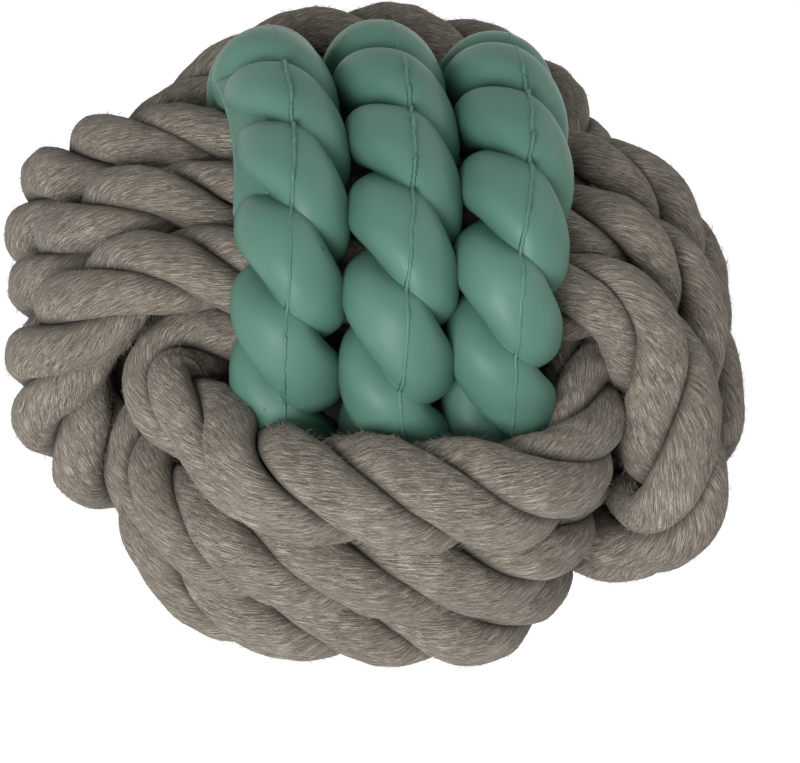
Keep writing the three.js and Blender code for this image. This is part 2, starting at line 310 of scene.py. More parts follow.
class KnotSizes(bpy.types.PropertyGroup):
    """Sizes of the knot that the rope and the rings make."""

    turns: bpy.props.IntProperty(name="Turns", description="Turns in each band of the rope", default=3)
    turn_gap: length("Turn Gap", "Space between turns that lie against each other", 0.001)
    crown: length("Crown", "How much prouder the middle turn of a band stands", 0.001)
    ring_arch: length("Ring Arch", "How far the rings arch outwards at their middle", 0.002)
    front_arch: length("Front Arch", "How far the front and back passes arch outwards", 0.005)
    left_arch: length("Left Arch", "How far the left passes arch outwards", 0.01)
    right_arch: length("Right Arch", "How far the right passes arch outwards", 0.006)
    right_bulge: length("Right Bulge", "How much further the slack right passes bulge", 0.002)
    right_hug: length("Right Hug", "How much less the foremost right pass bulges", 0.003)
    right_tuck: length("Right Tuck", "How far the low ends of the right passes pull in", 0.007)
    left_bulge: length("Left Bulge", "How much further the rearmost left pass bulges", 0.004)
    left_spread: length("Left Spread", "How far the front passes spread at their left corner", 0.003)
    rear_spread: length("Rear Spread", "How far the back passes spread at their left corner", 0.0082)
    left_hug: length("Left Hug", "How far the top front pass cuts its left corner", 0.0045)
    front_slide: length("Front Slide", "How far to the left the lowest front pass ends", 0.0055)
    front_ease: length("Front Ease", "How much less the lowest front pass stands out", 0.0026)
    front_rise: length("Front Rise", "How far the front passes ride up", 0.003)
    back_rise: length("Back Rise", "How far the back passes ride up", 0.0035)
    left_drift: length("Left Drift", "How far the left passes drift back", 0.0035)
    right_drift: length("Right Drift", "How far the right passes drift forward", 0.016)
    side_space: length("Side Space", "Space between turns at the sides", 0.0024)
    front_space: length("Front Space", "Space between turns in front and behind", 0.0002)
    lean: share("Lean", "How far the right side sits forward, as a share of x", 0.05)
    press: length("Press", "How far the lower front and back passes press in beside the rings", 0.008)
    softness: length("Softness", "Run on which a bend of the rope is eased", 0.009)


class ToyColours(bpy.types.PropertyGroup):
    """Colours of the toy's materials."""

    fibre_dark: colour("Dark Fibre", "Darkest cotton fibres", (0.055, 0.047, 0.037))
    fibre_mid: colour("Middle Fibre", "Most of the cotton fibres", (0.2, 0.175, 0.143))
    fibre_light: colour("Light Fibre", "Palest cotton fibres", (0.535, 0.479, 0.403))
    rubber: colour("Rubber", "Green rubber", (0.078, 0.182, 0.136))
    rubber_worn: colour("Worn Rubber", "Green rubber where it is paler", (0.095, 0.209, 0.159))
    core: colour("Core", "Core inside the knot", (0.479, 0.445, 0.371))
    floor: colour("Floor", "Floor under the toy", (0.9, 0.9, 0.9))


class StageSizes(bpy.types.PropertyGroup):
    """Camera and light."""

    elevation: slope("Elevation", "Camera above the horizon", 46.5)
    roll: slope("Roll", "Turn of the camera about its own line of sight", 2)
    distance: length("Distance", "From the camera to the middle of the ball", 0.65)
    lens: share("Lens", "Focal length in millimetres", 151)
    shift_x: share("Shift X", "Sideways shift of the frame, in image widths", 0.041)
    shift_y: share("Shift Y", "Upward shift of the frame, in image widths", -0.054)
    key_power: share("Key Power", "Watts of the large soft light in front", 10)
    fill_power: share("Fill Power", "Watts of the soft light on the right, behind", 3)
    sky: share("Sky", "Strength of the light from all round", 0.3)


GROUPS = (
    ("toy_rope", RopeSizes),
    ("toy_rings", RingSizes),
    ("toy_knot", KnotSizes),
    ("toy_colours", ToyColours),
    ("toy_stage", StageSizes),
)


def arch_share(distance, short):
    """Share of its arch that an outer pass has at a distance from its middle."""
    return np.cos(math.pi / 2 * np.minimum(1, np.abs(distance) / short)) ** 2


def smoothstep(value):
    """Eases from 0 to 1 as the value goes from 0 to 1."""
    held = np.clip(value, 0, 1)
    return held * held * (3 - 2 * held)


def knot_plan(scene):
    """Places of the bands in the knot, worked out from its driving sizes."""
    rope = scene.toy_rope
    rings = scene.toy_rings
    knot = scene.toy_knot
    gap = knot.turn_gap
    flat = rope.squeezed_thickness
    ring_pitch = rings.cord + rings.space
    rope_pitch = rope.squeezed_width + gap
    inner_x = ring_pitch + (rings.cord + flat) / 2 + gap
    inner_y = rope_pitch + (rope.squeezed_width + rings.cord) / 2 + gap
    inner_z = rope_pitch + (rope.squeezed_width + flat) / 2 + gap
    outer_x = inner_x + (flat + rope.thickness) / 2 + gap
    outer_x -= knot.right_arch * arch_share(rope_pitch, inner_z)
    outer_y = inner_y + (rings.cord + rope.thickness) / 2 + gap
    outer_y -= knot.front_arch * arch_share(ring_pitch, inner_x)
    outer_z = inner_z + (flat + rings.cord) / 2 + gap
    outer_z -= knot.ring_arch * arch_share(rope_pitch, inner_y)
    side_band = SimpleNamespace(
        long=outer_x, short=inner_z, side_a=inner_x, side_b=rope_pitch, tuck=flat + gap,
        arch=(knot.left_arch, knot.right_arch + knot.right_bulge),
        drift=(knot.left_drift, -knot.right_drift), pitch=rope.width + knot.side_space,
        rear_bulge=knot.left_bulge, front_hug=knot.right_hug, low_tuck=knot.right_tuck)
    front_band = SimpleNamespace(
        long=outer_y, short=inner_x, side_a=inner_y, side_b=ring_pitch,
        tuck=(rings.cord + flat) / 2 + gap, arch=(knot.front_arch, knot.front_arch),
        drift=(knot.front_rise, knot.back_rise), pitch=rope.width + knot.front_space,
        rear_bulge=0, front_hug=0, low_tuck=0)
    ring_loop = SimpleNamespace(
        long=outer_z, short=inner_y, side_a=inner_z, side_b=rope_pitch, arch=knot.ring_arch)
    floor = outer_z + knot.ring_arch + rings.cord / 2 - rings.stand_cut
    return SimpleNamespace(
        side_band=side_band, front_band=front_band, ring_loop=ring_loop, ring_pitch=ring_pitch,
        rope_pitch=rope_pitch, crown=knot.crown, lean=knot.lean, softness=knot.softness,
        turns=knot.turns, place=np.array(((knot.left_arch - knot.right_arch) / 2, 0, floor)))


def line(places, a, b):
    """Goes straight on to the place a, b of a turn."""
    start = places[-1]
    count = max(1, round(math.hypot(a - start[0], b - start[1]) / ROUTE_STEP))
    for i in range(1, count + 1):
        part = i / count
        here_a = start[0] + (a - start[0]) * part
        here_b = start[1] + (b - start[1]) * part
        places.append([here_a, here_b, start[2], start[3]])


def corner(places, turn, a, b, start, end):
    """Goes round a corner about the point a, b, tucking in where it turns inwards."""
    radius_b = turn.short - turn.side_b
    lane = places[-1][2]
    count = math.ceil(abs(end - start) * radius_b / ROUTE_STEP)
    for i in range(1, count + 1):
        angle = start + (end - start) * i / count
        outward = math.cos(angle) * math.copysign(1, a)
        radius_a = turn.long - turn.side_a if outward > 0 else turn.tuck
        plump = outward ** PLUMP_POWER if outward > 0 else 0
        places.append([a + math.cos(angle) * radius_a, b + math.sin(angle) * radius_b, lane, plump])


def shaped(plan, turn, places):
    """Arches and drifts the outer passes, and lets the middle turn stand proud."""
    a, b, lane, plump = np.array(places).T
    crown = plan.crown * np.maximum(0, 1 - lane ** 2)
    outer = np.abs(a) >= turn.side_a
    reach = np.where(outer, arch_share(b, turn.short), 0)
    arch = reach * np.where(
        a < 0, turn.arch[0] + turn.rear_bulge * np.maximum(0, lane),
        turn.arch[1] - turn.front_hug * np.maximum(0, -lane))
    drift = reach * np.where(a < 0, turn.drift[0], turn.drift[1])
    pitch = plan.rope_pitch + (turn.pitch - plan.rope_pitch) * plump
    far = a * (1 + crown / turn.long) + np.sign(a) * arch
    near = b * (1 + crown / turn.short)
    if turn.low_tuck:
        low = np.clip(-b / turn.short, 0, 1) * (outer & (a > 0))
        far -= turn.low_tuck * low ** 2 * (1 - low) * TUCK_SCALE
        drift = np.where(low > 0, np.sqrt(reach) * turn.drift[1], drift)
    return [far, near, lane * pitch + drift, plump, a, b, lane, reach]


def settle_front(knot, turn, shape):
    """Slides and eases the lower front passes, and draws the top one against the left ring."""
    far, near, over, plump, a, b, lane, reach = shape
    lower = (1 - lane) / 2
    upper = np.maximum(0, lane)
    forward = -a - turn.side_a
    to_front = smoothstep(forward / SPREAD_REACH + 1)
    to_right = smoothstep(0.5 + 0.5 * b / turn.short)
    near = near - knot.front_slide * lower * to_right * to_front
    far = far + knot.front_ease * np.maximum(0, -lane) * reach * (a < 0)
    from_corner = np.where(
        a < 0, forward + SPREAD_SETBACK * upper, a - turn.side_a + SPREAD_SETBACK)
    at_corner = np.maximum(0, 1 - (from_corner / SPREAD_REACH) ** 2) ** 2
    near -= np.where(a < 0, knot.left_spread, knot.rear_spread) * at_corner * (b < 0)
    ahead = np.clip(forward / (turn.long - turn.side_a), 0, 1)
    aside = np.clip((-b - turn.side_b) / (turn.short - turn.side_b), 0, 1)
    hug = knot.left_hug * 2 * ahead * aside * upper
    return far + hug, near + hug, over, plump


def band_route(plan, rope, turn, first_lane, lane_step, entry_run, exit_run):
    """One band of the rope: out from the inside, round its turns, and back to the inside."""
    quarter = math.pi / 2
    inside = turn.side_a - turn.tuck
    places = [[-inside, -turn.side_b + entry_run, first_lane, 0]]
    line(places, -inside, -turn.side_b)
    corner(places, turn, -turn.side_a, -turn.side_b, 0, -2 * quarter)
    for count in range(1, plan.turns + 1):
        line(places, -turn.long, turn.side_b)
        corner(places, turn, -turn.side_a, turn.side_b, 2 * quarter, quarter)
        line(places, turn.side_a, turn.short)
        corner(places, turn, turn.side_a, turn.side_b, quarter, 0)
        line(places, turn.long, -turn.side_b)
        if count == plan.turns:
            corner(places, turn, turn.side_a, -turn.side_b, 0, -2 * quarter)
            line(places, inside, -turn.side_b + exit_run)
        else:
            corner(places, turn, turn.side_a, -turn.side_b, 0, -quarter)
            first = len(places)
            line(places, -turn.side_a, -turn.short)
            middle = (2 * count - plan.turns) * rope.shift_lead
            for place in places[first:]:
                part = (middle + rope.shift_length / 2 - place[0]) / rope.shift_length
                place[2] += lane_step * smoothstep(part)
            corner(places, turn, -turn.side_a, -turn.side_b, -quarter, -2 * quarter)
    return shaped(plan, turn, places)


def bezier(first, second, third, fourth, count):
    """Points on a cubic curve, without its two ends."""
    t = np.linspace(0, 1, count + 1)[1:-1, None]
    rest = 1 - t
    return rest ** 3 * first + 3 * rest ** 2 * t * second + 3 * rest * t ** 2 * third + t ** 3 * fourth


def eased(values, run, step, closed):
    """Averages each value with its neighbours, twice, so that bends start and end softly."""
    reach = max(1, round(run / step / 2))
    window = np.ones(2 * reach + 1) / (2 * reach + 1)
    mode = "wrap" if closed else "edge"
    for _ in range(2):
        padded = np.pad(values, ((reach, reach), (0, 0)), mode=mode)
        values = np.stack([np.convolve(column, window, "valid") for column in padded.T], axis=1)
    return values


def unit(vectors):
    """The vectors at length 1."""
    return vectors / np.linalg.norm(vectors, axis=1, keepdims=True)


def pressed(scene, plan, points):
    """How far the inner side of the lower front and back passes presses in beside the rings."""
    slants = np.array(scene.toy_rings.slants)
    middles = np.arange(-1, 2) * plan.ring_pitch - np.sign(points[:, 1:2]) * slants
    hollows = np.column_stack([
        middles[:, 0] - HOLLOW_ASIDE, (middles[:, 0] + middles[:, 1]) / 2,
        (middles[:, 1] + middles[:, 2]) / 2, middles[:, 2] + HOLLOW_ASIDE])
    near = np.maximum(0, 1 - ((points[:, :1] - hollows) / HOLLOW_REACH) ** 2)
    lower = points[:, 2] < scene.toy_knot.front_rise + plan.front_band.pitch / 2
    return scene.toy_knot.press * np.max(near ** 2, axis=1) * lower


def rope_route(scene, plan):
    """The rope's middle line at equal steps, with the way that its width lies and how plump it is."""
    rope = scene.toy_rope
    side_lane = (plan.turns - 1) / 2
    far, near, over, first_plump = band_route(
        plan, rope, plan.side_band, -side_lane, 1, rope.tail_length, 0)[:4]
    first = np.stack([far, over, near], axis=1)
    shape = band_route(plan, rope, plan.front_band, side_lane, -1, 0, rope.tail_length)
    far, near, over, second_plump = settle_front(scene.toy_knot, plan.front_band, shape)
    second = np.stack([near, far, over], axis=1)
    leave = first[-1]
    enter = second[0]
    span = np.linalg.norm(enter - leave)
    count = round(span / ROUTE_STEP)
    crossing = bezier(
        leave, np.array((leave[0], leave[1], enter[2])),
        np.array((leave[0], enter[1], enter[2])), enter, count)
    points = np.concatenate([first, crossing, second])
    points[:, 1] -= plan.lean * points[:, 0]
    plump = np.concatenate([first_plump, np.zeros(len(crossing)), second_plump])
    turned = np.concatenate([
        np.zeros(len(first)), smoothstep(np.linspace(0, 1, len(crossing))), np.ones(len(second))])
    gone = np.concatenate([[0], np.cumsum(np.linalg.norm(np.diff(points, axis=0), axis=1))])
    steps = np.arange(0, gone[-1], ROUTE_STEP)
    table = np.column_stack([points, plump, turned])
    even = np.stack([np.interp(steps, gone, column) for column in table.T], axis=1)
    even = eased(even, plan.softness, ROUTE_STEP, False)
    along = unit(np.gradient(even[:, :3], axis=0))
    width = np.stack([np.zeros(len(even)), 1 - even[:, 4], even[:, 4]], axis=1)
    across = unit(width - along * np.sum(width * along, axis=1, keepdims=True))
    out = np.cross(along, across)
    press = pressed(scene, plan, even[:, :3]) * np.minimum(1, PRESS_ONSET * even[:, 3]) * even[:, 4]
    return SimpleNamespace(
        points=even[:, :3] + plan.place, along=along, across=across, out=out,
        plump=even[:, 3], shown=even[:, 3] + HIDDEN_FUZZ, turned=even[:, 4], run=steps,
        press=press * np.sign(np.sum(out * even[:, :3], axis=1)))


def waver(seed, run, period, reach):
    """A soft irregular wave along a run, the same each time for a seed."""
    chance = np.random.default_rng(seed)
    wave = np.zeros(len(run))
    for part in WAVE_PARTS:
        wave += np.sin(2 * math.pi * run / (period * part) + chance.uniform(0, 2 * math.pi)) * part
    return reach * wave / sum(WAVE_PARTS)


def lumps(seed, run, part):
    """Soft lumps along and across a strand, the same each time for a seed."""
    chance = np.random.default_rng(seed)
    height = np.zeros((len(run), len(part)))
    for _ in range(LUMP_WAVES):
        along = 2 * math.pi * run / chance.uniform(*LUMP_RUNS) + chance.uniform(0, 2 * math.pi)
        height += np.sin(along[:, None] + chance.uniform(-LUMP_SLANT, LUMP_SLANT) * part[None, :])
    return height / math.sqrt(LUMP_WAVES)


def above_floor(points):
    """The points, with those under the floor lifted onto it."""
    points[..., 2] = np.maximum(points[..., 2], 0)
    return points


def add_piece(name, points, faces, maps=None, values=None):
    """A mesh object of points and faces, with the map of its fibres and the depth of its creases, from
    which the cotton paints shade into them.
    """
    mesh = bpy.data.meshes.new(name)
    mesh.from_pydata(points.reshape(-1, 3).tolist(), [], faces)
    if maps is not None:
        corners = np.empty(len(mesh.loops), dtype=np.int32)
        mesh.loops.foreach_get("vertex_index", corners)
        layer = mesh.uv_layers.new(name="Fibres")
        layer.data.foreach_set("uv", maps.reshape(-1, 2)[corners].astype(np.float32).ravel())
    if values is not None:
        depth = mesh.attributes.new("crease", "FLOAT", "POINT")
        depth.data.foreach_set("value", values.astype(np.float32).ravel())
    piece = bpy.data.objects.new(name, mesh)
    bpy.context.collection.objects.link(piece)
    finish_mesh(piece)
    return piece


def skin(name, rows, closed, maps=None, values=None):
    """A mesh object whose skin joins rows of points. Open rows get a face at each end."""
    count, sides = rows.shape[:2]
    last = count if closed else count - 1
    here = np.arange(last)[:, None] * sides
    there = (np.arange(1, last + 1) % count)[:, None] * sides
    side = np.arange(sides)[None, :]
    after = (side + 1) % sides
    quads = np.stack([here + side, here + after, there + after, there + side], axis=2).reshape(-1, 4)
    faces = quads.tolist()
    if not closed:
        faces.append(list(range(sides))[::-1])
        faces.append(list(range((count - 1) * sides, count * sides)))
    return add_piece(name, rows, faces, maps, values)


def finish_mesh(piece):
    """Turns all faces outwards and shades them smooth."""
    bpy.ops.object.select_all(action="DESELECT")
    piece.select_set(True)
    bpy.context.view_layer.objects.active = piece
    bpy.ops.object.mode_set(mode="EDIT")
    bpy.ops.mesh.select_all(action="SELECT")
    bpy.ops.mesh.normals_make_consistent(inside=False)
    bpy.ops.object.mode_set(mode="OBJECT")
    bpy.ops.object.shade_smooth()


def dress(piece, material, node):
    """Gives a piece its material and its body, and hides the CAD node that it stands for."""
    piece.data.materials.clear()
    piece.data.materials.append(material)
    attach(piece, BODY)
    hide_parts(node)


class Nodes:
    """The node tree of a material or a world, with short ways to add and join its nodes."""

    def __init__(self, owner, shader):
        owner.use_nodes = True
        self.tree = owner.node_tree
        self.shader = self.tree.nodes[shader]

    def add(self, kind, settings=None, inputs=None):
        """Adds a node, sets its settings, and sets or joins its inputs."""
        node = self.tree.nodes.new(kind)
        for key, value in (settings or {}).items():
            setattr(node, key, value)
        for key, value in (inputs or {}).items():
            self.put(node, key, value)
        return node

    def put(self, node, key, value):
        """Joins a socket to an input, or sets the input to a value."""
        if isinstance(value, bpy.types.NodeSocket):
            self.tree.links.new(value, node.inputs[key])
        else:
            node.inputs[key].default_value = value

    def surface(self, inputs):
        """Sets or joins inputs of the shader."""
        for key, value in inputs.items():
            self.put(self.shader, key, value)

    def seen(self):
        """1 for what a camera, a mirror or a glass sees, and 0 for the light on other things."""
        path = self.add("ShaderNodeLightPath")
        either = self.add("ShaderNodeMath", {"operation": "MAXIMUM"}, {
            0: path.outputs["Is Camera Ray"], 1: path.outputs["Is Glossy Ray"]})
        return self.add("ShaderNodeMath", {"operation": "MAXIMUM"}, {
            0: either.outputs[0], 1: path.outputs["Is Transmission Ray"]}).outputs[0]

    def noise(self, place, scale, detail, roughness=0.5):
        """Value of a noise at a place."""
        inputs = {"Vector": place, "Scale": scale, "Detail": detail, "Roughness": roughness}
        return self.add("ShaderNodeTexNoise", None, inputs).outputs["Fac"]

    def stretched(self, place, scale, turn=0.0):
        """A place turned by an angle, then stretched by a scale for each axis."""
        turned = self.add("ShaderNodeMapping", None, {"Vector": place, "Rotation": (0, 0, turn)})
        inputs = {"Vector": turned.outputs["Vector"], "Scale": scale}
        return self.add("ShaderNodeMapping", None, inputs).outputs["Vector"]

    def span(self, value, low, high, to_low=0.0, to_high=1.0):
        """Takes a value from one span to another, held at its ends."""
        return self.add("ShaderNodeMapRange", None, {
            "Value": value, "From Min": low, "From Max": high,
            "To Min": to_low, "To Max": to_high}).outputs["Result"]

    def mix(self, part, first, second):
        """A colour between two, by a part from 0 to 1."""
        node = self.add("ShaderNodeMix", {"data_type": "RGBA"}, {MIX_PART: part})
        for key, tint in ((MIX_FIRST, first), (MIX_SECOND, second)):
            self.put(node, key, tint if isinstance(tint, bpy.types.NodeSocket) else (*tint, 1))
        return node.outputs[MIX_RESULT]

    def bump(self, height, distance, strength, normal=None):
        """Normal of a surface that is raised by a height."""
        inputs = {"Height": height, "Distance": distance, "Strength": strength}
        if normal is not None:
            inputs["Normal"] = normal
        return self.add("ShaderNodeBump", None, inputs).outputs["Normal"]


def cotton_material(colours, name, painted_sheen):
    """Heather cotton: dark, middle and pale fibres that lie along the rope, with painted shade that
    darkens the creases between strands, and a painted sheen that makes the loose fibres paler.
    """
    material = bpy.data.materials.new(name)
    nodes = Nodes(material, "Principled BSDF")
    fibres = nodes.add("ShaderNodeUVMap", {"uv_map": "Fibres"}).outputs["UV"]
    place = nodes.add("ShaderNodeTexCoord").outputs["Object"]
    fine, streak, stray, cross = (
        nodes.noise(nodes.stretched(fibres, scale, turn), 1, detail, roughness=FIBRE_ROUGHNESS)
        for scale, turn, detail in (FINE_FIBRES, STREAKS, STRAY_FIBRES, CROSS_FIBRES))
    broad = nodes.noise(nodes.stretched(fibres, BROAD_SCALE), 1, detail=3)
    cloud = nodes.noise(place, COTTON_CLOUDS, detail=3)
    depth = nodes.add("ShaderNodeAttribute", {"attribute_name": "crease"}).outputs["Fac"]
    base = colours.fibre_mid
    # Each row has a value, its span with the shares of a colour at both ends, and that colour
    for value, span, tint in (
            (streak, (0.41, 0.53, 1, 0), colours.fibre_dark),
            (fine, (0.51, 0.61, 0, 1), colours.fibre_light),
            (stray, (0.57, 0.65, 0, 0.8), colours.fibre_light),
            (cross, (0.56, 0.64, 0, 0.85), colours.fibre_dark),
            (broad, (0.3, 0.7, 0, 0.4), colours.fibre_mid),
            (cloud, (0.3, 0.7, 0, 0.25), colours.fibre_dark),
            # Painted shade: the cotton darkens towards the creases between the strands, by their depth
            (depth, (0.55, 1, 0, 0.75), colours.fibre_dark)):
        base = nodes.mix(nodes.span(value, *span), base, tint)
    # Painted sheen: a share of the light fibres' colour over the whole cotton of the loose fibres
    if painted_sheen:
        base = nodes.mix(painted_sheen, base, colours.fibre_light)
    soft = nodes.bump(broad, distance=0.0008, strength=0.6)
    soft = nodes.bump(fine, distance=0.0002, strength=0.6, normal=soft)
    soft = nodes.bump(streak, distance=0.0003, strength=0.7, normal=soft)
    nodes.surface({
        "Base Color": base, "Roughness": 0.95, "Specular IOR Level": 0.2,
        "Sheen Weight": 0.06, "Sheen Roughness": 0.5, "Normal": soft})
    return material


def rubber_material(colours):
    """Moulded rubber: satin, a little paler in clouds, with a fine grain and dark specks."""
    material = bpy.data.materials.new("green_rubber")
    nodes = Nodes(material, "Principled BSDF")
    place = nodes.add("ShaderNodeTexCoord").outputs["Object"]
    cloud = nodes.noise(place, RUBBER_CLOUDS, detail=4)
    grain = nodes.noise(place, RUBBER_GRAIN, detail=2)
    ripple = nodes.noise(place, RUBBER_RIPPLES, detail=3)
    speck = nodes.noise(place, RUBBER_SPECKS, detail=1)
    base = nodes.mix(nodes.span(cloud, 0.35, 0.68), colours.rubber, colours.rubber_worn)
    base = nodes.mix(nodes.span(speck, 0.79, 0.82, to_high=0.6), base, SPECK_COLOUR)
    soft = nodes.bump(ripple, distance=0.0005, strength=0.35)
    soft = nodes.bump(grain, distance=0.00003, strength=0.3, normal=soft)
    nodes.surface({
        "Base Color": base, "Roughness": nodes.span(cloud, 0.3, 0.7, to_low=0.5, to_high=0.42),
        "Specular IOR Level": 0.26, "Subsurface Weight": 0.08,
        "Subsurface Radius": (0.002, 0.004, 0.003), "Normal": soft})
    return material


def core_material(colours):
    """Plain rubber of the core, with a faint grain."""
    material = bpy.data.materials.new("core_rubber")
    nodes = Nodes(material, "Principled BSDF")
    place = nodes.add("ShaderNodeTexCoord").outputs["Object"]
    cloud = nodes.noise(place, CORE_CLOUDS, detail=4)
    grain = nodes.noise(place, CORE_GRAIN, detail=2)
    tint = tuple(channel * CORE_TINT for channel in colours.core)
    nodes.surface({
        "Base Color": nodes.mix(cloud, colours.core, tint), "Roughness": 0.8,
        "Normal": nodes.bump(grain, distance=0.0001, strength=0.3)})
    return material


def floor_material(colours):
    """Pale floor that a camera, a mirror or a glass sees as white, apart from the shadow."""
    material = bpy.data.materials.new("pale_floor")
    nodes = Nodes(material, "Principled BSDF")
    nodes.surface({"Base Color": (*colours.floor, 1), "Roughness": 1, "Specular IOR Level": 0})
    glow = nodes.add("ShaderNodeEmission", None, {"Color": WHITE, "Strength": FLOOR_GLOW})
    matt = nodes.add("ShaderNodeBsdfDiffuse", None, {"Color": FLOOR_SHADE})
    white = nodes.add("ShaderNodeAddShader", None, {0: glow.outputs[0], 1: matt.outputs[0]})
    both = nodes.add("ShaderNodeMixShader", None, {
        0: nodes.seen(), 1: nodes.shader.outputs[0], 2: white.outputs[0]})
    nodes.put(nodes.tree.nodes["Material Output"], "Surface", both.outputs[0])
    return material


def lobe_angles():
    """Angles round a two-lobed section, close together at the creases."""
    half = np.linspace(-1, 1, LOBE_POINTS, endpoint=False)
    spread = np.sign(half) * (1 - (1 - np.abs(half)) ** CREASE_CROWDING)
    return np.concatenate([math.pi / 2 * (1 + spread), math.pi / 2 * (3 + spread)])


def ring_radius(rings, angles, from_seam):
    """Radius of the two-lobed section at angles from a crease, shallower beside the seam."""
    from_top = np.abs(np.mod(angles, math.pi) - math.pi / 2) / (math.pi / 2)
    beside = np.mod(from_seam - rings.fade_aside + math.pi, 2 * math.pi) - math.pi
    depth = rings.crease_depth * (1 - rings.crease_fade * np.exp(-(beside / rings.fade_reach) ** 2))
    return rings.cord / 2 + rings.swell - depth * from_top ** rings.fullness


def ring_line(plan, rings, index):
    """Middle line of a ring at equal steps, from its top towards the back."""
    lane = index - 1
    turn = plan.ring_loop
    radius_a = turn.long - turn.side_a
    radius_b = turn.short - turn.side_b
    quarter = np.linspace(0, math.pi / 2, RING_CORNER_POINTS)
    a = np.concatenate([[turn.long], turn.side_a + radius_a * np.cos(quarter)])
    b = np.concatenate([[0], turn.side_b + radius_b * np.sin(quarter)])
    a = np.concatenate([a, -a[::-1], -a[1:], a[::-1]])
    b = np.concatenate([b, b[::-1], -b[1:], -b[::-1]])
    loop = np.column_stack([a, b])
    gone = np.concatenate([[0], np.cumsum(np.linalg.norm(np.diff(loop, axis=0), axis=1))])
    steps = np.linspace(0, gone[-1], RING_STEPS, endpoint=False)
    a = np.interp(steps, gone, a)
    b = np.interp(steps, gone, b)
    reach = np.where(np.abs(a) >= turn.side_a, arch_share(b, turn.short), 0)
    z = a + np.sign(a) * reach * turn.arch
    share_of_bow = arch_share(b, turn.short)
    x = lane * plan.ring_pitch + rings.bows[index] * share_of_bow
    x -= rings.slants[index] * b / turn.short
    y = b * (1 + (1 - abs(lane)) * rings.middle_bulge / turn.short)
    points = np.column_stack([x, y, z])
    return eased(points, rings.softness, gone[-1] / RING_STEPS, True) + plan.place


def ring_frame(rings, points, phase):
    """Way out of the ball at each point of a ring, and how far its section is twisted there."""
    along = unit(np.roll(points, -1, axis=0) - np.roll(points, 1, axis=0))
    across = np.array((1.0, 0, 0))
    out = unit(np.cross(across, along))
    edge = points + out * rings.cord / 2
    runs = np.linalg.norm(np.roll(edge, -1, axis=0) - edge, axis=1)
    gone = np.concatenate([[0], np.cumsum(runs)[:-1]])
    part = gone / runs.sum()
    slack = rings.slack * np.sin(2 * math.pi * (part - SLACK_PLACE))
    twist = 2 * math.pi * (phase / 2 - rings.twists * part) + slack
    return across, out, twist, gone


def strip_rows(rings, points):
    """Rows of the flat strip that lies along the left side of a ring, near its top."""
    top = points[:, 2] > np.median(points[:, 2])
    ahead = points[:, 1] - points[points[:, 2].argmax(), 1] + rings.strip_place
    chosen = points[top & (np.abs(ahead) < rings.strip_length / 2)]
    chosen = chosen[chosen[:, 1].argsort()]
    facing = np.array((-math.sin(rings.strip_tilt), 0, math.cos(rings.strip_tilt)))
    sideways = np.array((math.cos(rings.strip_tilt), 0, math.sin(rings.strip_tilt)))
    turn = np.linspace(0, 2 * math.pi, STRIP_POINTS, endpoint=False)
    corner_a = rings.strip_width / 2 - rings.strip_round
    corner_b = rings.strip_thickness / 2 - rings.strip_round
    wide = np.sign(np.cos(turn)) * corner_a + rings.strip_round * np.cos(turn)
    deep = np.sign(np.sin(turn)) * corner_b + rings.strip_round * np.sin(turn)
    middle = chosen + facing * (rings.strip_reach - rings.strip_thickness / 2)
    middle -= sideways * rings.strip_drop
    return middle[:, None] + wide[:, None] * sideways + deep[:, None] * facing


def flash_rows(rings, points, across, out, twist, gone, index):
    """Rows of the thin uneven ridge that the mould left along the outer side of a ring."""
    seam = rings.seams[index]
    aside = across * math.cos(seam) - out * math.sin(seam)
    out = out * math.cos(seam) + across * math.sin(seam)
    radius = ring_radius(rings, seam - twist, 0)
    radius = eased(radius[:, None], FLASH_EASE, FLASH_STEP, True)[:, 0]
    chance = np.random.default_rng(index)
    rough = chance.uniform(0, 1, (len(points), 1)) ** 2
    rough = eased(rough, ROUGH_EASE, FLASH_STEP, True)[:, 0]
    rough = np.clip((rough - ROUGH_FROM) / ROUGH_SPAN, 0, 1)
    ahead = points[points[:, 2].argmax(), 1] - points[:, 1]
    proud = smoothstep((ahead + FLASH_BEHIND) / FLASH_RISE)
    proud *= 1 - FLASH_LOSS * smoothstep((ahead - FLASH_AHEAD) / FLASH_FALL)
    high = rings.flash_height * (FLASH_EVEN + (1 - FLASH_EVEN) * rough) * np.maximum(proud, FLASH_LEAST)
    wander = chance.uniform(-1, 1, (len(points), 1))
    wander = eased(wander, WANDER_EASE, FLASH_STEP, True)[:, 0] * FLASH_WANDER
    wander += waver(index, gone, *FLASH_WAVE)
    jump = chance.normal(0, FLASH_JITTER, len(points))
    low = points + out * (radius - FLASH_SINK)[:, None]
    middle = low + aside * wander[:, None]
    top = middle + out * (high + FLASH_SINK)[:, None] + aside * jump[:, None]
    half = rings.flash_width / 2
    lean = aside * (half * FLASH_TAPER)
    side = aside * half
    return np.stack([middle - side, top - lean, top + lean, middle + side], axis=1)


